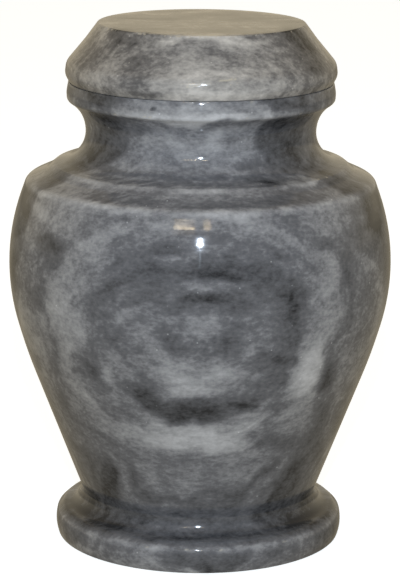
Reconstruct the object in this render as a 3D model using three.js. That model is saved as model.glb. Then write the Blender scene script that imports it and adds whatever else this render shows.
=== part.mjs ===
// A marble cremation urn: a turned, hollow body and a turned lid that lifts off.
// Millimetres, +Z up, the underside on z = 0 and the turning axis on x = y = 0.

import * as THREE from "three";

// Overall sizes
const HEIGHT = 267;
const WALL = 10.5;
const FLOOR = 18;
const SEAM_GAP = 0.3;

// Levels of the body's turned members
const FOOT_ARRIS_Z = 12.7;
const COVE_Z = 17.2;
const BELLY_Z = 147.1;
const SHOULDER_Z = 187.4;
const SHELF_Z = 195.5;
const NECK_Z = 200.5;
const COLLAR_Z = 228.1;
const RIM_Z = 237.1;

// Radii of the body's turned members
const SOLE_R = 73;
const FOOT_ARRIS_R = 73.6;
const COVE_R = 57.8;
const BELLY_R = 103.2;
const SHOULDER_R = 88.9;
const SHELF_R = 74.5;
const NECK_R = 56.8;
const COLLAR_R = 68;

// The mouth, and the spigot that keeps the lid central in it
const MOUTH_R = 47.5;
const SPIGOT_R = 46.5;
const SPIGOT_DEPTH = 8;
const EDGE_CHAMFER = 1;

// The lid
const LID_RIM_R = 69.1;
const LID_TOP_R = 52.4;

// How finely the turned forms are cut up
const SIDES = 48;
const CHORD_ERROR = 0.12;

// One corner of a turned outline: its radius, its level and how far it is rounded.
function corner(radius, level, round = 0) {
  return { at: new THREE.Vector2(radius, level), round };
}

// The directions at a corner: to its neighbours and between them, with half the angle they enclose.
function directions(before, { at }, after) {
  const back = before.at.clone().sub(at).normalize();
  const ahead = after.at.clone().sub(at).normalize();
  const halfAngle = Math.acos(THREE.MathUtils.clamp(back.dot(ahead), -1, 1)) / 2;
  const inward = back.clone().add(ahead).normalize();
  return { back, ahead, inward, halfAngle };
}

// A bulging corner moved in by one wall, so that both of its sides lie one wall thickness in.
function insetCorner(before, each, after, round = each.round - WALL) {
  const { inward, halfAngle } = directions(before, each, after);
  const at = each.at.clone().addScaledVector(inward, WALL / Math.sin(halfAngle));
  return { at, round };
}

// The points of a rounded corner, on an arc that touches both straight sides.
function roundedCorner(before, each, after) {
  const { at, round } = each;
  if (round === 0) return [at];
  const { back, ahead, inward, halfAngle } = directions(before, each, after);
  const centre = at.clone().addScaledVector(inward, round / Math.sin(halfAngle));
  const first = at.clone().addScaledVector(back, round / Math.tan(halfAngle)).sub(centre);
  const last = at.clone().addScaledVector(ahead, round / Math.tan(halfAngle)).sub(centre);
  const sweep = Math.atan2(first.cross(last), first.dot(last));
  const stepAngle = 2 * Math.acos(1 - CHORD_ERROR / Math.max(round, CHORD_ERROR));
  const steps = Math.ceil(Math.abs(sweep) / stepAngle);
  const points = [];
  for (let step = 0; step <= steps; step += 1) {
    const turn = (sweep * step) / steps;
    points.push(first.clone().rotateAround(new THREE.Vector2(), turn).add(centre));
  }
  return points;
}

// A closed solid of revolution about +Z. The outline runs from the axis to the axis, outside first.
function turned(corners) {
  const inner = corners.slice(1, -1);
  const outline = [
    corners[0].at,
    ...inner.flatMap((each, index) => roundedCorner(corners[index], each, corners[index + 2])),
    corners[corners.length - 1].at,
  ];
  const geometry = new THREE.LatheGeometry(outline, SIDES);
  geometry.rotateX(Math.PI / 2);
  return geometry;
}

// The corners that the outside and the hollow share, from the cone over the foot up to the shelf.
const cove = corner(COVE_R, COVE_Z, 7.4);
const cone = corner(BELLY_R - 14.2, BELLY_Z - 48.8, 268);
const belly = corner(BELLY_R, BELLY_Z, 107.7);
const shoulder = corner(SHOULDER_R, SHOULDER_Z, 5);
const shelfEdge = corner(SHELF_R + 4, SHELF_Z - 3.3, 1.9);

// Foot, cove, belly, shoulder, stepped shelf, neck and collar, from the underside up to the rim.
function bodyOutside() {
  return [
    corner(0, 0),
    corner(SOLE_R, 0, 1.2),
    corner(SOLE_R + 1.9, 7, 22),
    corner(FOOT_ARRIS_R, FOOT_ARRIS_Z, 0.8),
    corner(FOOT_ARRIS_R - 3.3, FOOT_ARRIS_Z + 3, 3),
    cove,
    cone,
    belly,
    shoulder,
    shelfEdge,
    corner(SHELF_R, SHELF_Z, 1),
    corner(NECK_R, NECK_Z, 15.8),
    corner(NECK_R + 3.1, NECK_Z + 22.4, 17.5),
    corner(COLLAR_R, COLLAR_Z, 2.6),
    corner(COLLAR_R + 0.2, COLLAR_Z + 4, 10),
    corner(COLLAR_R - 0.7, RIM_Z, 0.7),
  ];
}

// The hollow follows the outside one wall thickness in, and its neck is bored straight.
function bodyInside() {
  return [
    corner(MOUTH_R, RIM_Z, EDGE_CHAMFER),
    corner(MOUTH_R, SHELF_Z - WALL, 4),
    insetCorner(belly, shoulder, shelfEdge, 5),
    insetCorner(cone, belly, shoulder),
    insetCorner(cove, cone, belly),
    corner(COVE_R - WALL, FLOOR, 8),
    corner(0, FLOOR),
  ];
}

// A flat-topped lid with a rounded rim, a raked flank and the spigot below.
function lidOutline() {
  const seat = RIM_Z + SEAM_GAP;
  return [
    corner(0, seat - SPIGOT_DEPTH),
    corner(SPIGOT_R - EDGE_CHAMFER, seat - SPIGOT_DEPTH),
    corner(SPIGOT_R, seat - SPIGOT_DEPTH + EDGE_CHAMFER),
    corner(SPIGOT_R, seat),
    corner(LID_RIM_R - 2.2, seat, 0.8),
    corner(LID_RIM_R, seat + 4.1, 6),
    corner(LID_RIM_R - 0.8, seat + 9.8, 7),
    corner(LID_TOP_R + 6.3, HEIGHT - 8.5, 18),
    corner(LID_TOP_R, HEIGHT, 1.2),
    corner(0, HEIGHT),
  ];
}

// Grey cloudy marble with a polished face.
function greyMarble() {
  return new THREE.MeshStandardMaterial({ color: 0x84837f, roughness: 0.14, metalness: 0 });
}

function piece(name, corners) {
  const mesh = new THREE.Mesh(turned(corners), greyMarble());
  mesh.name = name;
  return mesh;
}

const urn = new THREE.Group();
urn.name = "cremation_urn";
urn.add(piece("urn_body", [...bodyOutside(), ...bodyInside()]));
urn.add(piece("lid", lidOutline()));

export default urn;
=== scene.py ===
import math

import bpy
import numpy as np
from bpy.props import FloatProperty, FloatVectorProperty, IntProperty, PointerProperty
from bpy.types import Operator, Panel, PropertyGroup
from mathutils import Matrix, Vector


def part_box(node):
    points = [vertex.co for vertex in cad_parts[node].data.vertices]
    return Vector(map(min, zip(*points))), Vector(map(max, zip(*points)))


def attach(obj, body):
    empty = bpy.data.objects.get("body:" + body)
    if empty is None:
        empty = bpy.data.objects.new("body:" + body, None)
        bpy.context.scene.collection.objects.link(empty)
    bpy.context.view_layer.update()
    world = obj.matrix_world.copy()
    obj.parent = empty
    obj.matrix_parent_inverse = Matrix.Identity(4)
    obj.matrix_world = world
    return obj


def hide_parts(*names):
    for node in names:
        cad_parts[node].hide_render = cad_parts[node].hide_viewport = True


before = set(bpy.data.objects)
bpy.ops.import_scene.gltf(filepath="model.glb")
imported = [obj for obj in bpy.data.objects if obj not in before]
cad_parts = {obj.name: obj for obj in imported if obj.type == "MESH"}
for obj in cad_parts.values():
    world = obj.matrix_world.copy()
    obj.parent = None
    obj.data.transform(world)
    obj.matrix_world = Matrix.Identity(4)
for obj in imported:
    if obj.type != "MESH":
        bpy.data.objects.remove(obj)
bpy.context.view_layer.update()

bl_info = {
    "name": "Marble cremation urn",
    "version": (1, 0, 0),
    "blender": (4, 5, 0),
    "location": "3D View > Sidebar > Urn",
    "description": "Dresses a turned cremation urn in cloudy grey marble",
    "category": "Object",
}

# Shapes and the marble's figure are worked out in millimetres, with tones from 0, black, up to WHITE.
MM = 0.001
WHITE = 255
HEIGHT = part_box("lid")[1].z / MM
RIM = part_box("urn_body")[1].z / MM
BODY_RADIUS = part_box("urn_body")[1].x / MM
LID_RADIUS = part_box("lid")[1].x / MM
SHELF = 195.5
WALL = 10.5
HOLLOW_FLOOR = 18.0
MOUTH_RADIUS = 47.5
SPIGOT_RADIUS = 46.5
SPIGOT_DEPTH = 8.0
SEAM = 0.1

# Spacing of the points along the outlines where the surface is plain or hidden
BODY_PLAIN_SPACING = 9.0
LID_PLAIN_SPACING = 6.0

# How strongly noise breaks up the figure of each stone
BODY_STONE = {"clots": 0.24, "grain": 0.26, "streaks": 0.08}
LID_STONE = {"clots": 0.32, "grain": 0.34, "streaks": 0.16}

# The stage, in metres
URN_MIDDLE = (0, 0, 0.13)
LENS_Y = -1.32
FLOOR_RADIUS = 8.0
FLOOR_SIDES = 96
FLOOR_DROP = 0.0002


# Waves and soft steps


def ease(low, high, value):
    """A smooth rise from 0 at low to 1 at high: t squared times (3 - 2 t)."""
    t = np.clip((value - low) / (high - low), 0.0, 1.0)
    return t * t * (3.0 - 2.0 * t)


def waves(points, length, seed, count=14):
    """A seeded sum of plane sine waves of about one length, in every direction, with a spread near 1."""
    rng = np.random.default_rng(seed)
    directions = rng.normal(size=(count, 3))
    directions /= np.linalg.norm(directions, axis=1)[:, None]
    steps = 2 * np.pi / length * rng.uniform(0.6, 1.5, count)
    phases = rng.uniform(0, 2 * np.pi, count)
    return np.sin(points @ (directions * steps[:, None]).T + phases).sum(-1) * math.sqrt(2 / count)


def banded(distance, bands):
    """The value at a distance, read off straight lines between (distance, value) pairs."""
    at, value = zip(*bands)
    return np.interp(distance, at, value)


# Turned shapes


def rounded_outline(corners, chord_error=0.02):
    """The outline through (radius, level, rounding) corners, each rounded by an arc that touches both
    sides. The arc's centre lies on the corner's bisector, at rounding / sin(half the corner's angle)."""
    points = [np.array([corners[0][:2]], float)]
    for before, corner, after in zip(corners, corners[1:], corners[2:]):
        at = np.array(corner[:2], float)
        rounding = corner[2]
        back = np.array(before[:2]) - at
        ahead = np.array(after[:2]) - at
        back /= np.hypot(*back)
        ahead /= np.hypot(*ahead)
        half_angle = math.acos(np.clip(back @ ahead, -1.0, 1.0)) / 2
        inward = (back + ahead) / np.hypot(*(back + ahead))
        centre = at + inward * rounding / math.sin(half_angle)
        first = at + back * rounding / math.tan(half_angle) - centre
        last = at + ahead * rounding / math.tan(half_angle) - centre
        sweep = math.atan2(first[0] * last[1] - first[1] * last[0], first @ last)
        step = 2 * math.acos(1 - min(chord_error / rounding, 1.0))
        turns = np.linspace(0.0, sweep, max(math.ceil(abs(sweep) / step), 3) + 1)
        across = first[0] * np.cos(turns) - first[1] * np.sin(turns)
        up = first[0] * np.sin(turns) + first[1] * np.cos(turns)
        points.append(np.stack([across, up], 1) + centre)
    points.append(np.array([corners[-1][:2]], float))
    return np.concatenate(points)


def filled_outline(outline, fine, coarse, is_fine):
    """The outline with points added along each side, at even steps no longer than fine where
    is_fine(radius, level), and no longer than coarse elsewhere."""
    pieces = []
    for start, end in zip(outline, outline[1:]):
        spacing = fine if is_fine(*((start + end) / 2)) else coarse
        count = max(math.ceil(np.hypot(*(end - start)) / spacing), 1)
        share = np.linspace(0.0, 1.0, count, endpoint=False)[:, None]
        pieces.append(start + (end - start) * share)
    return np.concatenate(pieces + [outline[-1:]])


def turned_rings(outline, sides):
    """A grid of points (r sin a, -r cos a, z): a row for each outline point, with a going once round."""
    angle = np.linspace(0.0, 2 * np.pi, sides, endpoint=False)
    radius = outline[:, :1]
    level = np.repeat(outline[:, 1:], sides, axis=1)
    return np.stack([radius * np.sin(angle), -radius * np.cos(angle), level], -1)


def turned_faces(rows, sides):
    """Quads between neighbouring rows of the grid, and a fan of triangles round the pole at each end."""
    row = np.arange(rows - 1)[:, None] * sides
    here = np.arange(sides)
    ahead = (here + 1) % sides
    quads = np.stack([row + here, row + ahead, row + sides + ahead, row + sides + here], -1)
    bottom_pole = np.full(sides, rows * sides)
    bottom = np.stack([ahead, here, bottom_pole], -1)
    last = (rows - 1) * sides
    top = np.stack([last + here, last + ahead, bottom_pole + 1], -1)
    return quads.reshape(-1, 4).tolist() + bottom.tolist() + top.tolist()


def travel(outline):
    """How far along the outline each of its points lies: the running sum of the sides' lengths."""
    sides = np.hypot(*np.diff(outline, axis=0).T)
    return np.concatenate([[0.0], np.cumsum(sides)])


def turned_piece(name, outline, sides, dents, measures):
    """A closed smooth mesh turned about +Z. dents(points) gives the depth in millimetres by which each
    point moves against the outline's normal, and the chip mask. measures(points, way) gives the named
    values that are stored for each point."""
    inner = outline[1:-1]
    points = turned_rings(inner, sides)
    tangent = np.gradient(inner, axis=0)
    tangent /= np.hypot(*tangent.T)[:, None]
    angle = np.linspace(0.0, 2 * np.pi, sides, endpoint=False)
    outward = tangent[:, 1:]
    rise = -tangent[:, :1] + 0 * angle
    normals = np.stack([outward * np.sin(angle), -outward * np.cos(angle), rise], -1)
    depth, chips = dents(points)
    placed = points - normals * depth[..., None]
    poles = [[0.0, 0.0, outline[0, 1]], [0.0, 0.0, outline[-1, 1]]]
    vertices = np.concatenate([placed.reshape(-1, 3), poles]) * MM
    mesh = bpy.data.meshes.new(name)
    mesh.from_pydata(vertices.tolist(), [], turned_faces(len(inner), sides))
    mesh.polygons.foreach_set("use_smooth", np.ones(len(mesh.polygons), bool))
    values = dict(measures(points, travel(outline)[1:-1, None] + 0 * angle), chip=chips)
    for measure, value in values.items():
        ends = [value[0].mean(), value[-1].mean()]
        attribute = mesh.attributes.new(measure, "FLOAT", "POINT")
        attribute.data.foreach_set("value", np.concatenate([value.ravel(), ends]).astype(np.float32))
    mesh.update()
    piece = bpy.data.objects.new(name, mesh)
    bpy.context.scene.collection.objects.link(piece)
    return piece


# The urn's outlines, as (radius, level, rounding)


def body_corners():
    """Foot, cove, cone, belly, shoulder, stepped shelf, neck and collar, then the bore and the hollow."""
    outside = [
        (0.0, 0.0, 0.0),
        (73.0, 0.0, 1.2),
        (74.9, 7.0, 18.0),
        (73.6, 12.7, 2.2),
        (70.3, 15.7, 3.0),
        (57.8, 17.2, 7.4),
        (89.0, 98.3, 268.0),
        (103.2, 147.1, 107.7),
        (88.9, 187.4, 5.0),
        (78.5, 192.2, 1.9),
        (74.5, SHELF, 1.0),
        (56.8, 200.5, 15.8),
        (59.9, 222.9, 17.5),
        (68.0, 228.1, 2.6),
        (68.2, 232.1, 10.0),
        (67.3, RIM, 0.4),
    ]
    inside = [
        (MOUTH_RADIUS, RIM, 1.0),
        (MOUTH_RADIUS, SHELF - WALL, 4.0),
        (80.5, 179.7, 5.0),
        (92.2, 146.8, 97.2),
        (79.0, 101.7, 257.5),
        (47.3, HOLLOW_FLOOR, 8.0),
        (0.0, HOLLOW_FLOOR, 0.0),
    ]
    return outside + inside


def lid_corners():
    """Spigot, seat, rounded rim, raked flank and flat top."""
    seat = RIM + SEAM
    return [
        (0.0, seat - SPIGOT_DEPTH, 0.0),
        (SPIGOT_RADIUS, seat - SPIGOT_DEPTH, 1.0),
        (SPIGOT_RADIUS, seat, 0.4),
        (66.9, seat, 0.5),
        (69.1, seat + 4.1, 6.0),
        (68.3, seat + 9.8, 7.0),
        (58.7, HEIGHT - 8.5, 18.0),
        (52.4, HEIGHT, 1.0),
        (0.0, HEIGHT, 0.0),
    ]


# The middle of the body's wall, as (level, radius)
WALL_MIDDLE = ((10, 52), (30, 56), (98, 82), (147, 92), (178, 88), (186, 53), (240, 53))


def is_hollow(radius, level):
    """True in the hollow: nearer the axis than the wall's middle, and over the middle of the floor."""
    return (radius < banded(level, WALL_MIDDLE)) & (level > WALL_MIDDLE[0][0])


def sized_outline(corners, radius, fine, coarse, is_fine):
    """The filled outline, with its radii scaled so that its widest point is at the given radius."""
    outline = filled_outline(rounded_outline(corners), fine, coarse, is_fine)
    outline[:, 0] *= radius / outline[:, 0].max()
    return outline


# The marble's figure: how light and dark run through the block, with painted highlights and shade at the
# edges, the hollows and the down-facing rims
# The tones of its front follow measurements of the photograph, and were typed and adjusted.

# Nested bowls of tone round a middle on the belly's front, as (distance, tone): above, beside and below it
BOWL_MIDDLE = 127.0
BOWL_FLATNESS = 0.88
BOWLS_ABOVE = (
    (0, 98), (5, 100), (13, 98), (20, 90), (24, 84), (30, 98), (34, 88), (41, 76), (47, 94),
    (56, 106), (60, 112), (64, 128), (70, 108), (76, 124), (100, 112),
)
BOWLS_BESIDE = (
    (0, 100), (5, 92), (16, 90), (24, 103), (32, 103), (40, 90), (46, 80), (52, 106), (60, 134), (67, 126),
    (73, 112), (79, 92), (85, 100), (93, 116), (98, 110), (104, 84), (110, 84), (130, 96),
)
BOWLS_BELOW = (
    (0, 95), (8, 99), (16, 122), (22, 135), (28, 141), (34, 122), (40, 74), (44, 52), (48, 62), (52, 122),
    (57, 147), (68, 147), (74, 118), (84, 102), (96, 101), (106, 83), (114, 67), (121, 80), (140, 80),
)
# Upright beds of tone across the stone, as (depth, tone) from front to back
# Behind the middle, back_beds takes over from them.
UPPER_BEDS = (
    (-96, 92), (-90, 98), (-84, 111), (-77, 101), (-70, 103), (-64, 115), (-55, 116), (-52, 108), (-50, 70),
    (-44, 60), (-36, 57), (-31, 66), (-25, 86), (-16, 88), (-6, 94), (8, 84), (22, 104), (40, 112), (98, 104),
)
CONE_BEDS = (
    (-72, 140), (-67, 112), (-61, 110), (-58, 74), (-54, 108), (-51, 104), (-46, 54), (-41, 62), (-36, 76),
    (-30, 88), (-24, 102), (-18, 112), (-8, 92), (10, 94), (30, 108), (98, 104),
)
COVE_BEDS = (
    (-72, 76), (-64, 80), (-57, 87), (-52, 68), (-44, 58), (-34, 53), (-24, 48), (-8, 46), (8, 58), (25, 80),
    (98, 98),
)
FOOT_BEDS = (
    (-78, 88), (-73, 100), (-69, 112), (-65, 98), (-58, 106), (-50, 98), (-42, 86), (-34, 86), (-26, 92),
    (-18, 78), (-8, 76), (10, 86), (30, 100), (98, 98),
)
LID_BEDS = (
    (-70, 150), (-66, 140), (-62, 127), (-54, 121), (-46, 116), (-38, 98), (-34, 88), (-30, 98), (-22, 104),
    (-14, 110), (-6, 114), (0, 102), (6, 72), (11, 60), (16, 74), (22, 100), (30, 116), (40, 110), (98, 100),
)
# Painted highlights along the rounded edges and painted shade in the turned hollows and the foot's crease; on
# the collar's lower edge, which faces down, painted light as if from below: radius, level, reach, change of
# tone
ARRIS_LIGHT_AND_HOLLOW_SHADE = (
    (67.9, 229.0, 2.4, 24),
    (65.0, 199.5, 1.7, -17),
    (69.3, 197.1, 1.6, -8),
    (75.1, 195.1, 1.5, 20),
    (85.0, 189.3, 3.0, -8),
    (88.4, 187.0, 2.4, 16),
    (65.0, 16.9, 2.4, -20),
    (73.6, 12.9, 1.9, 20),
)
# Single clouds on the front, and some painted light: x, z, half width, half height, lean in degrees, change
# of tone
# Their places are in the bent stone, a few millimetres from where they show.
BODY_CLOUDS_AND_PAINTED_LIGHT = (
    # the collar and the waist; the pale ones about level 229, on the collar's lower edge, which faces down,
    # are painted light as if from below
    (-62, 230, 10, 4, 0, 18),
    (6, 234.5, 17, 2.5, 0, 16),
    (-9, 228.8, 24, 2.4, 0, 38),
    (-2, 230.5, 24, 4, 0, 20),
    (16, 228.8, 12, 2.2, 0, 22),
    (-10, 235, 6, 2, 0, 16),
    (45, 235, 9, 2, 0, 16),
    (38, 230.5, 6, 4, 0, 16),
    (40, 228.8, 7, 2.4, 0, 20),
    (-20.5, 235, 1.4, 1.6, 0, -60),
    (0, 225, 44, 2, 0, -12),
    (0, 213, 34, 8, 0, 12),
    (-38, 215, 18, 4, 0, 14),
    (0, 208, 20, 3, 0, -12),
    (-60, 219, 8, 3, 0, 14),
    (60, 218, 8, 4, 0, 16),
    # dark lenses and pale patches where the neck meets the shelf
    (-60, 206, 6, 4.5, 0, -30),
    (61, 204, 6, 4, 0, -34),
    (-71, 198.5, 6, 2.2, -20, -40),
    (77, 198.5, 6, 2.2, 20, -40),
    (26, 199.5, 12, 2.5, 0, -14),
    (50, 200.5, 8, 3, 30, 28),
    (40, 193, 20, 2.4, 0, -22),
    (31, 192.8, 8, 2, 0, -20),
    (40, 203.5, 7, 3, 0, 20),
    (-58, 199.5, 6, 2, 0, 18),
    (56, 198, 9, 2, 25, 26),
    (-58, 189, 24, 2, 0, 22),
    (-84, 189.5, 10, 3.5, 0, 48),
    (78, 189, 12, 2, 0, 24),
    (48, 184, 20, 6, 0, -12),
    # a painted highlight along the step's edge
    (-30, 195.8, 42, 1.4, 0, 12),
    # the ends of the upper beds under the shoulder
    (-86, 180, 5, 10, 12, -32),
    (86, 181, 6, 10, -12, -32),
    (80, 168, 9, 7, -35, -22),
    (-73, 164, 7, 8, 30, -38),
    (-65, 157, 5, 6, 0, 24),
    (-68, 168, 7, 4, 0, -24),
    (64, 171, 10, 4, 0, -18),
    (-98, 148, 5, 11, 0, -56),
    (46, 158, 26, 22, -30, -10),
    (5, 185.3, 19, 2.2, 0, 18),
    (-36, 182, 10, 4, 0, -18),
    (-79, 180, 6, 4, 0, 20),
    (-91, 171, 5, 6, 0, 16),
    (88, 183, 6, 4, 0, -14),
    # the pale arcs at the belly's left and right, and the dark gaps in them
    (-72, 138, 6, 14, -8, 16),
    (-81, 114, 8, 16, 14, 24),
    (91, 122, 6, 24, 0, 14),
    (50, 106, 6, 15, -12, 42),
    (31, 98, 7, 7, -30, 28),
    (55, 98, 5, 9, -10, -26),
    (42, 93, 7, 6, 0, -22),
    (60, 99, 8, 8, 0, -26),
    (45, 109, 4.5, 6, 0, 22),
    (50, 136, 5, 9, 0, -14),
    (71, 54, 5, 9, 0, 30),
    (50, 144, 4.5, 12, 0, -20),
    (61, 154, 4.5, 9, -15, 16),
    (71, 158, 5, 9, -20, -18),
    (-91, 124, 5, 13, 0, 18),
    (31, 114, 10, 5, 0, -24),
    (-40, 110, 8, 11, 20, 28),
    (-57, 126, 9, 8, 0, 22),
    (-50, 111, 5, 6, 0, -16),
    (-88, 102, 6, 7, 0, -30),
    (-70, 90, 6, 5, 0, 18),
    (-50, 165, 7, 5, 0, 16),
    (-70, 58, 6, 8, 0, 20),
    (-28, 120, 8, 8, 0, 12),
    # the dark bowl's broken rim, lower left and lower right
    (-51, 101, 6, 12, 25, -38),
    (-38, 82, 12, 6, -35, -36),
    (-32, 86, 8, 5, -35, -18),
    (-41, 96, 5, 7, 20, -16),
    (42, 65, 8, 5, 0, -20),
    (38, 84, 7, 11, -30, -34),
    (29, 70, 8, 8, 0, -32),
    (58, 69, 7, 11, -15, -24),
    # streaks through the middle of the bowls and down the cone
    (5, 147.5, 18, 3.2, 0, -24),
    (12, 155.5, 16, 3, 0, 26),
    (22, 163, 20, 4.5, 6, -12),
    (-1, 134, 30, 7, 0, 16),
    (0, 96, 24, 4, 0, 24),
    (19, 88, 7, 4, 0, 26),
    (31, 78, 5, 4, 0, -14),
    (0, 29, 14, 3, 0, -14),
    (21, 71.5, 6, 4, 0, -28),
    (-16, 98, 11, 7, 0, 20),
    (20, 132, 9, 5, 0, -14),
    (0, 76, 14, 3, 0, 10),
    (5, 69, 21, 5, 0, 22),
    (-5, 84, 22, 2.5, 0, -12),
    # the foot
    (11, 8, 15, 4.5, 0, -44),
    (4, 1.5, 11, 2.5, 0, 38),
    (-10, 5, 6, 4, 0, -14),
    (42, 8, 5, 5, 0, -16),
    (71, 7, 6, 6, 0, -18),
    (-69, 2.5, 8, 4, 0, 40),
    (-25, 8, 12, 5, 0, 14),
    (-38, 1.5, 34, 2.5, 0, 14),
)
LID_CLOUDS_AND_PAINTED_LIGHT = (
    # a dark slanting bed at the right, dark stripes at the left, and the flank between them
    (49, 260, 15, 3.6, -48, -52),
    (-68, 257, 13, 2.2, 55, -42),
    (-39, 263, 6, 4, 50, -20),
    (68, 250, 4, 6, 0, -38),
    (-64, 264, 4, 2.5, 45, -30),
    (-31, 255, 8, 15, 0, -18),
    (-23, 241, 8, 3, 0, -32),
    (-6, 251, 12, 6, 0, 10),
    (13, 256, 12, 4, 0, -10),
    # pale stone under the top edge; along the rim, which faces down, the paler tone is painted light as if
    # from below
    (5, 264, 25, 2.2, 0, 50),
    (12, 260, 12, 2.5, 0, 12),
    (-48, 262, 6, 5, -30, 26),
    (8, 240, 34, 2.4, 0, 26),
    (33, 242, 9, 3.5, 0, 26),
    (-62, 243, 12, 5, 0, 26),
    (-48, 246, 8, 4, 0, 16),
    (58, 243, 8, 4, 0, 16),
)


def faded(away):
    """The share of a mark's change at a distance in units of its size: 1 up to 0.4, falling to 0 at 1.5."""
    return 1 - ease(0.4, 1.5, away)


def clouds(x, z, rows):
    """The summed tone of leaning ellipses, each fading with the distance from its middle."""
    tone = 0.0 * x
    for middle_x, middle_z, half_width, half_height, lean, change in rows:
        turn = math.radians(lean)
        along = (x - middle_x) * math.cos(turn) + (z - middle_z) * math.sin(turn)
        across = (z - middle_z) * math.cos(turn) - (x - middle_x) * math.sin(turn)
        tone += change * faded(np.hypot(along / half_width, across / half_height))
    return tone


def painted_arris_light(points):
    """The summed painted highlights and painted shade of ring-shaped marks at the edges and hollows, each
    fading with the distance from it in the turned section.
    """
    radius = np.hypot(points[..., 0], points[..., 1])
    tone = 0.0 * radius
    for at_radius, at_level, reach, change in ARRIS_LIGHT_AND_HOLLOW_SHADE:
        away = np.hypot(radius - at_radius, points[..., 2] - at_level)
        tone += change * faded(away / reach)
    return tone * (1 + 0.25 * waves(points, 22, 41))


def bent(points, long_bend, short_bend):
    """The points moved by slow and by quick waves, so that no bed or bowl runs true."""
    moved = points + 0.0
    for axis in range(3):
        slow = long_bend * waves(points, 48, 1 + axis)
        moved[..., axis] += slow + short_bend * waves(points, 13, 4 + axis)
    return moved


def back_beds(points):
    """The beds behind the middle: three sines of the depth, bent by long waves."""
    depth = points[..., 1] + 8 * waves(points, 60, 21)
    swing = 0.5 * np.sin(depth / 4.9 + 1) + 0.35 * np.sin(depth / 2.9) + 0.5 * np.sin(depth / 7.5 + 2)
    return 103 + 22 * swing


def bowls(x, z):
    """The belly's front: the tone by the distance from the bowls' middle, blended by the direction from it.
    The bowls are let out at the upper left, drawn in at the lower right, and flatter above the middle.
    Fine streaks run along them, as waves of the distance that change slowly with the direction."""
    let_out = 0.13 * ease(10, 40, -x) * (1 - ease(70, 86, -x)) * ease(108, 128, z)
    drawn_in = 0.2 * ease(42, 58, x) * (1 - ease(68, 84, x)) * ease(76, 90, z) * (1 - ease(112, 126, z))
    across = x * (1 + 0.2 * (x / 150) ** 2) * (1 + drawn_in - let_out)
    up = (z - BOWL_MIDDLE) / BOWL_FLATNESS
    distance = np.hypot(across, up)
    flatter = np.hypot(0.8 * across, up)
    heading = up / np.maximum(distance, 4.0)
    above = ease(0.15, 0.75, heading)
    below = ease(0.35, 0.9, -heading)
    tone = banded(flatter, BOWLS_ABOVE) * above + banded(distance, BOWLS_BELOW) * below
    tone += banded(distance, BOWLS_BESIDE) * (1 - above - below)
    rounds = np.stack([distance, 9 * across / np.maximum(distance, 9), 9 * heading], -1)
    return tone + 5.0 * waves(rounds, 7, 31) + 3.0 * waves(rounds * (1.0, 2.0, 2.0), 4, 32)


def beds(points, moved, bands):
    """The tone by the moved points' depth, with fine streaks that run along the beds."""
    x, depth, z = points[..., 0], moved[..., 1], points[..., 2]
    along = np.stack([0.2 * x, depth, 0.25 * z], -1)
    streaks = 5.0 * waves(along, 7, 33) + 3.0 * waves(along, 4, 34)
    behind = ease(-8, 18, points[..., 1])
    return banded(depth, bands) * (1 - behind) + back_beds(points) * behind + streaks


def body_figure_and_painted_light(points):
    """The body's tone: bowls on the belly's front, upright beds everywhere else, single clouds with painted
    light on the collar's lower edge, and painted highlights and shade at the edges and hollows.
    The upper beds turn a little with x and tilt over the shoulder, and the cone's tilt with z."""
    moved = bent(points, 2.2, 0.7)
    x, y, z = points[..., 0], points[..., 1], points[..., 2]
    tilted = moved + 0.0
    tilted[..., 1] += 0.06 * x + 0.3 * (np.maximum(z, 192) - 215)
    tone = beds(points, tilted, UPPER_BEDS)
    leaning = moved + 0.0
    leaning[..., 1] += 0.12 * z
    cone = 1 - ease(48, 66, z)
    tone = tone * (1 - cone) + beds(points, leaning, CONE_BEDS) * cone
    cove = 1 - ease(23, 34, z)
    tone = tone * (1 - cove) + beds(points, moved, COVE_BEDS) * cove
    foot = 1 - ease(12.5, 15.5, z)
    tone = tone * (1 - foot) + beds(points, moved, FOOT_BEDS) * foot
    front = 1 - ease(-25, 5, y)
    bowls_end = -12 - 31 * ease(150, 172, z)
    belly = ease(48, 66, z) * (1 - ease(187.0, 189.5, z)) * (1 - ease(bowls_end - 4, bowls_end + 6, y))
    tone = tone * (1 - belly) + bowls(moved[..., 0], moved[..., 2]) * belly
    # painted highlights and shade at the edges and hollows come last
    return tone + front * clouds(moved[..., 0], moved[..., 2], BODY_CLOUDS_AND_PAINTED_LIGHT) + painted_arris_light(points)


def lid_figure_and_painted_light(points):
    """The lid's tone: it is cut from another stone, with upright beds of its own, single clouds, and painted
    light along its rim, which faces down.
    On the flat top the beds run straighter and stand out more."""
    moved = bent(points, 1.6, 0.5)
    top = ease(HEIGHT - 1.0, HEIGHT - 0.3, points[..., 2])
    straight = 0.7 * top[..., None]
    moved = moved * (1 - straight) + points * straight
    moved[..., 1] += 0.06 * points[..., 0]
    front = 1 - ease(-20, 0, points[..., 1])
    tone = beds(points, moved, LID_BEDS) + front * clouds(moved[..., 0], moved[..., 2], LID_CLOUDS_AND_PAINTED_LIGHT)
    return tone + 0.7 * top * (tone - 105)


# Chips along the turned edges, and a crack on the lid's rim

LID_CRACK = (-7, 244.6, 16, 248.2, 0.4)


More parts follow.
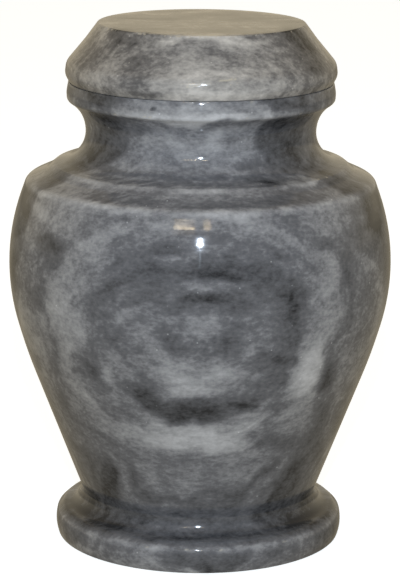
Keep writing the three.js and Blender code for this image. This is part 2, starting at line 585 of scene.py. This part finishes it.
def chip_marks(points, edges, rng_seed, depth, cracks=()):
    """The dents and the mask of small chips strewn along edges. Each edge is (radius, level, from, to,
    count, largest), its angles in degrees from the front. A chip is an ellipsoid, longest along the edge,
    of a seeded size and place. A crack is a thin ragged line on the front: x and z of its start, x and z
    of its end, and half its width. It is filled and polished over, so it is marked and not dented."""
    rng = np.random.default_rng(rng_seed)
    mask = np.zeros(points.shape[:2])
    for radius, level, start, end, count, largest in edges:
        near = np.abs(points[:, 0, 2] - level) < 3.5
        grid = points[near]
        for _ in range(count):
            angle = math.radians(rng.uniform(start, end))
            size = largest * rng.uniform(0.25, 1.0) ** 1.5
            drop = rng.normal(0, 0.35)
            middle = np.array([radius * math.sin(angle), -radius * math.cos(angle), level + drop])
            along = np.array([math.cos(angle), math.sin(angle), 0.0])
            offset = grid - middle
            run = offset @ along
            side = np.linalg.norm(offset - run[..., None] * along, axis=-1)
            reach = np.hypot(run / size, side / (0.45 * size + 0.25))
            ragged = reach + 0.16 * waves(grid, 1.9, 77, 8)
            mask[near] = np.maximum(mask[near], 1 - ease(0.55, 1.05, ragged))
    dents = depth * mask
    for start_x, start_z, end_x, end_z, width in cracks:
        run = np.array([end_x - start_x, end_z - start_z])
        offset = points[..., ::2] - (start_x, start_z)
        share = np.clip(offset @ run / (run @ run), 0, 1)[..., None]
        away = np.linalg.norm(offset - share * run, axis=-1) + 0.35 * waves(points, 5, 78, 8)
        broken = waves(points, 3.4, 79, 8) > -0.5
        line = 1 - ease(0.5, 1.2, np.abs(away) / width)
        mask = np.maximum(mask, line * broken * (points[..., 1] < 0))
    return dents, mask


# Materials


def new_node(tree, kind, settings=None, **inputs):
    """A node with its settings and inputs filled in. An input is named, or i and its number. One that is
    a socket is linked, and any other is a value."""
    node = tree.nodes.new(kind)
    for name, value in (settings or {}).items():
        setattr(node, name, value)
    for name, value in inputs.items():
        key = int(name[1:]) if name[0] == "i" and name[1:].isdigit() else name.replace("_", " ")
        socket = node.inputs[key]
        if isinstance(value, bpy.types.NodeSocket):
            tree.links.new(value, socket)
        else:
            socket.default_value = value
    return node


def new_maths(tree, operation, first, second=0.0, third=0.0):
    """A Math node's result. Each input is a number or a socket."""
    node = new_node(tree, "ShaderNodeMath", {"operation": operation}, i0=first, i1=second, i2=third)
    return node.outputs[0]


def new_group(name, inputs, outputs):
    """An empty shader node group with float or colour sockets, and its two ends."""
    group = bpy.data.node_groups.new(name, "ShaderNodeTree")
    for title, kind, value in inputs:
        socket = group.interface.new_socket(title, in_out="INPUT", socket_type="NodeSocket" + kind)
        socket.default_value = value
    for title, kind in outputs:
        group.interface.new_socket(title, in_out="OUTPUT", socket_type="NodeSocket" + kind)
    return group, group.nodes.new("NodeGroupInput").outputs, group.nodes.new("NodeGroupOutput").inputs


def object_place(tree, scale):
    """Object coordinates in millimetres, times a scale along each axis."""
    place = new_node(tree, "ShaderNodeTexCoord").outputs["Object"]
    shrink = Vector(scale) / MM
    settings = {"vector_type": "POINT"}
    return new_node(tree, "ShaderNodeMapping", settings, Vector=place, Scale=shrink).outputs[0]


def noise(tree, scale, detail, roughness=0.55, distortion=0.0):
    """Noise about 0 whose features are about 1 / scale millimetres wide along each axis."""
    node = new_node(
        tree,
        "ShaderNodeTexNoise",
        Vector=object_place(tree, scale),
        Scale=1.0,
        Detail=detail,
        Roughness=roughness,
        Distortion=distortion,
    )
    return new_maths(tree, "SUBTRACT", node.outputs["Fac"], 0.5)


def marble_figure_group():
    """Turns a tone into marble: clots, grain, drawn-out streaks and white grains move the tone, and three
    colours follow it from dark to light."""
    tree, given, result = new_group(
        "Marble figure",
        [
            ("Tone", "Float", 0.4),
            ("Clots", "Float", 0.1),
            ("Grain", "Float", 0.1),
            ("Streaks", "Float", 0.05),
            ("White Grains", "Float", 0.5),
            ("Dark", "Color", (0.03, 0.03, 0.03, 1)),
            ("Middle", "Color", (0.2, 0.2, 0.2, 1)),
            ("Light", "Color", (0.6, 0.6, 0.6, 1)),
        ],
        [("Color", "Color")],
    )
    clots = new_maths(tree, "MULTIPLY", noise(tree, (0.1, 0.14, 0.19), 3.0, 0.6), given["Clots"])
    grain = new_maths(tree, "MULTIPLY", noise(tree, (0.38, 0.5, 0.62), 3.0, 0.6), given["Grain"])
    streaks = new_maths(tree, "MULTIPLY", noise(tree, (0.07, 0.3, 0.33), 2.0, 0.6, 0.5), given["Streaks"])
    tone = new_maths(tree, "ADD", given["Tone"], clots)
    tone = new_maths(tree, "ADD", tone, grain)
    tone = new_maths(tree, "ADD", tone, streaks)
    cells = new_node(tree, "ShaderNodeTexVoronoi", Vector=object_place(tree, (0.2, 0.2, 0.2)), Scale=1.0)
    pick = new_node(tree, "ShaderNodeSeparateColor", Color=cells.outputs["Color"])
    small = new_node(
        tree,
        "ShaderNodeMapRange",
        Value=cells.outputs["Distance"],
        From_Min=0.03,
        From_Max=0.11,
        To_Min=1.0,
        To_Max=0.0,
    ).outputs[0]
    few = new_maths(tree, "GREATER_THAN", pick.outputs[0], 0.8)
    specks = new_maths(tree, "MULTIPLY", new_maths(tree, "MULTIPLY", small, few), given["White Grains"])
    tone = new_maths(tree, "ADD", tone, new_maths(tree, "MULTIPLY", specks, 0.35))
    low = new_node(tree, "ShaderNodeMapRange", Value=tone, From_Min=0.16, From_Max=0.4).outputs[0]
    high = new_node(tree, "ShaderNodeMapRange", Value=tone, From_Min=0.4, From_Max=0.75).outputs[0]
    lower = new_node(
        tree, "ShaderNodeMix", {"data_type": "RGBA"}, i0=low, i6=given["Dark"], i7=given["Middle"]
    ).outputs[2]
    mixed = new_node(
        tree, "ShaderNodeMix", {"data_type": "RGBA"}, i0=high, i6=lower, i7=given["Light"]
    ).outputs[2]
    tree.links.new(mixed, result["Color"])
    return tree


def edge_wear_group():
    """Lays a bruised, chalky break over a colour, and roughens it, where the chip mask is near 1."""
    group, given, result = new_group(
        "Chipped edge",
        [
            ("Color", "Color", (0.2, 0.2, 0.2, 1)),
            ("Roughness", "Float", 0.1),
            ("Chip", "Float", 0.0),
            ("Break", "Color", (0.5, 0.48, 0.42, 1)),
        ],
        [("Color", "Color"), ("Roughness", "Float"), ("Height", "Float")],
    )
    crumbs = noise(group, (2.2, 2.2, 2.2), 3.0, 0.7)
    break_up = new_maths(group, "MULTIPLY_ADD", crumbs, 1.3, 0.75)
    broken = new_maths(group, "MULTIPLY", given["Chip"], break_up)
    share = new_node(group, "ShaderNodeClamp", Value=broken).outputs[0]
    color = new_node(
        group, "ShaderNodeMix", {"data_type": "RGBA"}, i0=share, i6=given["Color"], i7=given["Break"]
    ).outputs[2]
    rough = new_node(group, "ShaderNodeMix", i0=share, i2=given["Roughness"], i3=0.6).outputs[0]
    height = new_maths(group, "MULTIPLY", share, crumbs)
    group.links.new(color, result["Color"])
    group.links.new(rough, result["Roughness"])
    group.links.new(height, result["Height"])
    return group


def polish_group():
    """The polisher's hand: the height in millimetres of faint rings left by the turning and of a slow
    unevenness, and a roughness that wanders a little."""
    group, given, result = new_group(
        "Polish",
        [
            ("Travel", "Float", 0.0),
            ("Ring Spacing", "Float", 1.25),
            ("Rings", "Float", 0.002),
            ("Waver", "Float", 0.01),
            ("Roughness", "Float", 0.1),
        ],
        [("Height", "Float"), ("Roughness", "Float")],
    )
    turns = new_maths(group, "DIVIDE", given["Travel"], given["Ring Spacing"])
    rings = new_maths(group, "SINE", new_maths(group, "MULTIPLY", turns, 2 * math.pi))
    uneven = noise(group, (0.25, 0.25, 0.05), 1.0)
    rings = new_maths(group, "MULTIPLY", rings, new_maths(group, "ADD", uneven, 0.6))
    rings = new_maths(group, "MULTIPLY", rings, given["Rings"])
    waver = new_maths(group, "MULTIPLY", noise(group, (0.05, 0.05, 0.09), 2.0), given["Waver"])
    height = new_maths(group, "ADD", rings, waver)
    spread = new_maths(group, "MULTIPLY_ADD", noise(group, (0.3, 0.3, 0.3), 3.0), 0.5, 1.0)
    group.links.new(height, result["Height"])
    group.links.new(new_maths(group, "MULTIPLY", spread, given["Roughness"]), result["Roughness"])
    return group


def get_group(name, maker):
    """The named node group, made the first time that it is asked for."""
    return bpy.data.node_groups.get(name) or maker()


def measured(tree, name):
    """A named measure stored on the mesh."""
    return new_node(tree, "ShaderNodeAttribute", {"attribute_name": name}).outputs["Fac"]


def polished_marble(name, look, tint, clots, grain, streaks):
    """Cloudy marble: polished outside, chalky where it is chipped, and left from the tool where hidden."""
    dark, middle, light = ((*np.multiply(grey, tint), 1) for grey in (look.dark, look.middle, look.light))
    material = bpy.data.materials.new(name)
    material.use_nodes = True
    tree = material.node_tree
    tree.nodes.clear()
    marble = new_node(
        tree,
        "ShaderNodeGroup",
        {"node_tree": get_group("Marble figure", marble_figure_group)},
        Tone=measured(tree, "cloud"),
        Clots=clots,
        Grain=grain,
        Streaks=streaks,
        White_Grains=look.white_grains,
        Dark=dark,
        Middle=middle,
        Light=light,
    )
    polish = new_node(
        tree,
        "ShaderNodeGroup",
        {"node_tree": get_group("Polish", polish_group)},
        Travel=measured(tree, "travel"),
        Rings=look.rings,
        Waver=look.waver,
        Roughness=look.roughness,
    )
    worn = new_node(
        tree,
        "ShaderNodeGroup",
        {"node_tree": get_group("Chipped edge", edge_wear_group)},
        Color=marble.outputs["Color"],
        Roughness=polish.outputs["Roughness"],
        Chip=measured(tree, "chip"),
        Break=(*look.broken, 1),
    )
    hollow = measured(tree, "hollow")
    inside = new_node(
        tree,
        "ShaderNodeMix",
        {"data_type": "RGBA"},
        i0=hollow,
        i6=worn.outputs["Color"],
        i7=(*look.tooled, 1),
    )
    roughness = new_node(tree, "ShaderNodeMix", i0=hollow, i2=worn.outputs["Roughness"], i3=0.75)
    height = new_maths(tree, "MULTIPLY_ADD", worn.outputs["Height"], 0.12, polish.outputs["Height"])
    bump = new_node(tree, "ShaderNodeBump", Strength=1.0, Distance=MM, Height=height)
    surface = new_node(
        tree,
        "ShaderNodeBsdfPrincipled",
        Base_Color=inside.outputs[2],
        Roughness=roughness.outputs[0],
        IOR=look.ior,
        Normal=bump.outputs[0],
    )
    new_node(tree, "ShaderNodeOutputMaterial", Surface=surface.outputs[0])
    return material


# Settings that a user can change


class UrnShape(PropertyGroup):
    """How finely the urn is turned, and how it is chipped"""

    body_sides: IntProperty(name="Body sides", description="Faces round the body", default=320, min=48)
    lid_sides: IntProperty(name="Lid sides", description="Faces round the lid", default=512, min=48)
    body_spacing: FloatProperty(
        name="Body spacing",
        description="Distance between the body's rings of points, in millimetres",
        default=1.6,
        min=0.5,
    )
    lid_spacing: FloatProperty(
        name="Lid spacing",
        description="Distance between the lid's rings of points, in millimetres",
        default=0.7,
        min=0.3,
    )
    chip_depth: FloatProperty(
        name="Chip depth", description="Depth of the chips on the edges, in millimetres", default=0.3, min=0
    )
    seed: IntProperty(name="Seed", description="Places the chips", default=5)


class MarbleLook(PropertyGroup):
    """The marble's greys and its polish"""

    dark: FloatVectorProperty(
        name="Dark", description="The marble's darkest grey", subtype="COLOR", default=(0.028, 0.031, 0.037)
    )
    middle: FloatVectorProperty(
        name="Middle", description="The marble's middle grey", subtype="COLOR", default=(0.183, 0.191, 0.211)
    )
    light: FloatVectorProperty(
        name="Light", description="The marble's lightest grey", subtype="COLOR", default=(0.70, 0.72, 0.75)
    )
    lid_tint: FloatVectorProperty(
        name="Lid tint",
        description="What the lid's warmer stone does to these greys",
        default=(1.04, 0.99, 0.91),
    )
    broken: FloatVectorProperty(
        name="Broken", description="Chalky colour of a chip", subtype="COLOR", default=(0.62, 0.58, 0.48)
    )
    tooled: FloatVectorProperty(
        name="Tooled",
        description="Colour of the unpolished hollow",
        subtype="COLOR",
        default=(0.36, 0.355, 0.34),
    )
    white_grains: FloatProperty(name="White grains", description="Strength of the white grains", default=0.6)
    roughness: FloatProperty(name="Roughness", description="Roughness of the polish", default=0.07, min=0.02)
    rings: FloatProperty(name="Rings", description="Height of turning rings, in millimetres", default=0.0012)
    waver: FloatProperty(name="Waver", description="Height of slow unevenness, in millimetres", default=0.006)
    ior: FloatProperty(name="IOR", description="Index of refraction of the marble", default=1.5, min=1.0)


class StageLook(PropertyGroup):
    """The floor, the room, the flash and the camera"""

    floor: FloatVectorProperty(
        name="Floor", description="Colour of the pale floor", subtype="COLOR", default=(0.86, 0.86, 0.86)
    )
    room: FloatVectorProperty(
        name="Room", description="Colour of the room's walls", subtype="COLOR", default=(1.0, 0.87, 0.63)
    )
    ceiling: FloatVectorProperty(
        name="Ceiling", description="Colour of the room overhead", subtype="COLOR", default=(1.0, 0.78, 0.46)
    )
    room_strength: FloatProperty(name="Room strength", description="Brightness of the room", default=0.62)
    flash_power: FloatProperty(
        name="Flash", description="Power of the small light over the camera", subtype="POWER", default=9.0
    )
    eye_distance: FloatProperty(
        name="Eye distance", description="Camera in front of the urn", subtype="DISTANCE", default=1.3227
    )
    eye_side: FloatProperty(
        name="Eye side", description="Camera to the right of the urn", subtype="DISTANCE", default=0.0001
    )
    eye_height: FloatProperty(
        name="Eye height", description="Camera over the floor", subtype="DISTANCE", default=0.4392
    )
    eye_pitch: FloatProperty(
        name="Eye pitch",
        description="How far the camera looks down",
        subtype="ANGLE",
        default=math.radians(13.245),
    )
    eye_roll: FloatProperty(
        name="Eye roll",
        description="Camera's turn about its view",
        subtype="ANGLE",
        default=math.radians(0.412),
    )
    lens: FloatProperty(name="Lens", description="Focal length in millimetres", default=163.1)


# Operators


def finish_piece(piece, node, material):
    """Gives the piece its material, and lets it stand for its solid in the frame."""
    piece.data.materials.append(material)
    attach(piece, "root")
    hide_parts(node)


class URN_OT_body(Operator):
    """Turn the hollow body, from the moulded foot up to the collar, and dress it in marble"""

    bl_idname = "urn.body"
    bl_label = "Urn body"

    def execute(self, context):
        shape = context.scene.urn_shape
        look = context.scene.urn_marble
        outline = sized_outline(
            body_corners(),
            BODY_RADIUS,
            shape.body_spacing,
            BODY_PLAIN_SPACING,
            lambda radius, level: level > 0.5 and not is_hollow(radius, level),
        )

        def measures(points, way):
            hollow = is_hollow(np.hypot(points[..., 0], points[..., 1]), points[..., 2])
            # This tone holds painted highlights and shade at the edges and hollows, and painted light on the
            # collar's lower edge.
            return {"cloud": body_figure_and_painted_light(points) / WHITE, "hollow": hollow.astype(float), "travel": way}

        edges = (
            (68.2, 228.3, -75, 60, 26, 0.9),
            (67.0, RIM - 0.2, -80, 80, 14, 0.7),
            (74.3, SHELF - 0.2, -80, 80, 12, 0.8),
            (73.4, 12.5, -180, 180, 18, 0.9),
        )
        piece = turned_piece(
            "marble_body",
            outline,
            shape.body_sides,
            lambda points: chip_marks(points, edges, shape.seed, shape.chip_depth),
            measures,
        )
        marble = polished_marble("Polished marble, body", look, (1, 1, 1), **BODY_STONE)
        finish_piece(piece, "urn_body", marble)
        return {"FINISHED"}


class URN_OT_lid(Operator):
    """Turn the lid with its spigot, raked flank and flat top, and dress it in marble"""

    bl_idname = "urn.lid"
    bl_label = "Urn lid"

    def execute(self, context):
        shape = context.scene.urn_shape
        look = context.scene.urn_marble
        outline = sized_outline(
            lid_corners(),
            LID_RADIUS,
            shape.lid_spacing,
            LID_PLAIN_SPACING,
            lambda radius, level: level > RIM + 0.5 and (level < HEIGHT - 0.05 or radius > 46),
        )

        def measures(points, way):
            under = points[..., 2] < RIM + SEAM + 0.2
            # The lid's tone holds painted light along its rim.
            return {"cloud": lid_figure_and_painted_light(points) / WHITE, "hollow": under.astype(float), "travel": way}

        edges = (
            (52.6, HEIGHT - 0.3, -62, 10, 24, 1.3),
            (52.6, HEIGHT - 0.3, 10, 75, 12, 0.8),
            (68.2, 248.5, -26, -17, 8, 0.8),
            (68.6, 246.0, 9, 16, 5, 0.6),
            (66.9, RIM + SEAM + 0.4, -80, 80, 12, 0.6),
        )
        piece = turned_piece(
            "marble_lid",
            outline,
            shape.lid_sides,
            lambda points: chip_marks(points, edges, shape.seed + 1, shape.chip_depth, [LID_CRACK]),
            measures,
        )
        marble = polished_marble("Polished marble, lid", look, look.lid_tint, **LID_STONE)
        finish_piece(piece, "lid", marble)
        return {"FINISHED"}


def new_light(name, power, color, location, size, shape="RECTANGLE", glossy=True):
    """An area light that looks at the urn's middle. Without glossy, it leaves no mirror image."""
    data = bpy.data.lights.new(name, "AREA")
    data.energy = power
    data.color = color
    data.shape = shape
    data.size, data.size_y = size
    light = bpy.data.objects.new(name, data)
    light.location = location
    gaze = Vector(URN_MIDDLE) - Vector(location)
    light.rotation_euler = gaze.to_track_quat("-Z", "Y").to_euler()
    light.visible_glossy = glossy
    bpy.context.scene.collection.objects.link(light)


class URN_OT_stage(Operator):
    """Set out the pale floor, the room's soft light, the flash over the lens and the camera"""

    bl_idname = "urn.stage"
    bl_label = "Stage"

    def execute(self, context):
        stage = context.scene.urn_stage
        self.floor(stage)
        self.room(stage)
        self.lights(stage)
        self.camera(stage)
        context.scene.view_settings.view_transform = "Standard"
        return {"FINISHED"}

    def floor(self, stage):
        """A wide disc just under the urn, as (radius cos a, radius sin a). It glows a little, so that it
        stays pale, and neither lights the urn nor is mirrored in it."""
        angle = np.linspace(0, 2 * np.pi, FLOOR_SIDES, endpoint=False)
        across, along = FLOOR_RADIUS * np.cos(angle), FLOOR_RADIUS * np.sin(angle)
        ring = np.stack([across, along, 0 * angle - FLOOR_DROP], 1)
        mesh = bpy.data.meshes.new("pale_floor")
        mesh.from_pydata(ring.tolist(), [], [list(range(FLOOR_SIDES))])
        floor = bpy.data.objects.new("pale_floor", mesh)
        bpy.context.scene.collection.objects.link(floor)
        floor.visible_glossy = False
        floor.visible_diffuse = False
        material = bpy.data.materials.new("Pale floor")
        material.use_nodes = True
        surface = material.node_tree.nodes["Principled BSDF"]
        surface.inputs["Base Color"].default_value = (*stage.floor, 1)
        surface.inputs["Roughness"].default_value = 0.9
        surface.inputs["Specular IOR Level"].default_value = 0.1
        surface.inputs["Emission Color"].default_value = (0.9, 0.95, 1, 1)
        surface.inputs["Emission Strength"].default_value = 0.8
        mesh.materials.append(material)

    def room(self, stage):
        """Soft room light: bright beyond the urn, half as bright below and overhead, and dim behind the
        camera. It is warmer overhead."""
        world = bpy.data.worlds.new("Room")
        bpy.context.scene.world = world
        world.use_nodes = True
        tree = world.node_tree
        tree.nodes.clear()
        direction = new_node(tree, "ShaderNodeTexCoord").outputs["Generated"]
        parts = new_node(tree, "ShaderNodeSeparateXYZ", Vector=direction)
        beyond = new_node(tree, "ShaderNodeMapRange", Value=parts.outputs["Y"], From_Min=-0.5, From_Max=0.4)
        rise = new_maths(tree, "MULTIPLY_ADD", parts.outputs["Z"], 0.5, 0.5)
        wall = self.glow_by_height(tree, rise, ((0.46, 0.5), (0.5, 1.0), (0.62, 1.0), (0.8, 0.5)))
        front = self.glow_by_height(tree, rise, ((0.46, 0.5), (0.5, 0.35), (0.8, 0.35)))
        level = new_node(tree, "ShaderNodeMix", i0=beyond.outputs[0], i2=front, i3=wall)
        strength = new_maths(tree, "MULTIPLY", level.outputs[0], stage.room_strength)
        overhead = new_node(tree, "ShaderNodeMapRange", Value=rise, From_Min=0.65, From_Max=0.95)
        color = new_node(
            tree,
            "ShaderNodeMix",
            {"data_type": "RGBA"},
            i0=overhead.outputs[0],
            i6=(*stage.room, 1),
            i7=(*stage.ceiling, 1),
        )
        glow = new_node(tree, "ShaderNodeBackground", Color=color.outputs[2], Strength=strength)
        new_node(tree, "ShaderNodeOutputWorld", Surface=glow.outputs[0])

    def glow_by_height(self, tree, rise, stops):
        """The room's brightness read off a ramp, from straight down at 0 to straight up at 1."""
        ramp = new_node(tree, "ShaderNodeValToRGB", Fac=rise)
        elements = ramp.color_ramp.elements
        elements.remove(elements[1])
        elements[0].position = stops[0][0]
        elements[0].color = (*[stops[0][1]] * 3, 1)
        for position, brightness in stops[1:]:
            elements.new(position).color = (*[brightness] * 3, 1)
        return new_node(tree, "ShaderNodeSeparateColor", Color=ramp.outputs[0]).outputs[0]

    def lights(self, stage):
        """The flash over the lens with its faint spill below, two warm strip lamps over it, and warm fills
        that light the sides, the top and the back without a mirror image."""
        bluish = (0.795, 0.915, 1.085)
        new_light("flash", stage.flash_power, bluish, (0.0, LENS_Y, 0.605), (0.018, 0.075), "ELLIPSE")
        new_light("flash_spill", 0.06, (0.7, 0.85, 1.0), (0.0, LENS_Y, 0.46), (0.018, 0.32), "ELLIPSE")
        warm = (1.0, 0.8, 0.52)
        new_light("lamp_left", 0.42, warm, (-0.235, LENS_Y, 0.798), (0.3, 0.015))
        new_light("lamp_right", 0.14, warm, (0.098, LENS_Y, 0.798), (0.105, 0.015))
        fills = (
            ("fill_left", 2.6, (1.0, 0.82, 0.55), (-1.4, 0.7, 1.0)),
            ("fill_right", 2.2, (1.0, 0.9, 0.75), (1.4, 0.7, 1.0)),
            ("fill_top", 1.0, (1.0, 0.72, 0.36), (0.0, -0.2, 1.5)),
        )
        for name, power, color, place in fills:
            new_light(name, power, color, place, (0.9, 0.9), glossy=False)

    def camera(self, stage):
        """The photograph's eye: in front, a little above, looking down."""
        data = bpy.data.cameras.new("camera")
        data.lens = stage.lens
        data.sensor_width = 36
        data.clip_end = 50
        camera = bpy.data.objects.new("camera", data)
        camera.location = (stage.eye_side, -stage.eye_distance, stage.eye_height)
        tilt = Matrix.Rotation(math.pi / 2 - stage.eye_pitch, 3, "X")
        roll = Matrix.Rotation(stage.eye_roll, 3, "Z")
        camera.rotation_euler = (tilt @ roll).to_euler()
        bpy.context.scene.collection.objects.link(camera)
        bpy.context.scene.camera = camera


class URN_PT_panel(Panel):
    """Settings and steps of the marble urn"""

    bl_idname = "URN_PT_panel"
    bl_label = "Marble urn"
    bl_space_type = "VIEW_3D"
    bl_region_type = "UI"
    bl_category = "Urn"

    def draw(self, context):
        for settings in (context.scene.urn_shape, context.scene.urn_marble, context.scene.urn_stage):
            column = self.layout.column()
            for name in settings.__annotations__:
                column.prop(settings, name)
        for operator in OPERATORS:
            self.layout.operator(operator.bl_idname)


SETTINGS = {"urn_shape": UrnShape, "urn_marble": MarbleLook, "urn_stage": StageLook}
OPERATORS = (URN_OT_body, URN_OT_lid, URN_OT_stage)


def register():
    for name, settings in SETTINGS.items():
        bpy.utils.register_class(settings)
        setattr(bpy.types.Scene, name, PointerProperty(type=settings))
    for each in (*OPERATORS, URN_PT_panel):
        bpy.utils.register_class(each)


def unregister():
    for each in (URN_PT_panel, *reversed(OPERATORS)):
        bpy.utils.unregister_class(each)
    for name, settings in SETTINGS.items():
        delattr(bpy.types.Scene, name)
        bpy.utils.unregister_class(settings)


def main():
    register()
    bpy.ops.urn.stage()
    bpy.ops.urn.body()
    bpy.ops.urn.lid()
    bpy.context.view_layer.update()


if __name__ == "__main__":
    main()
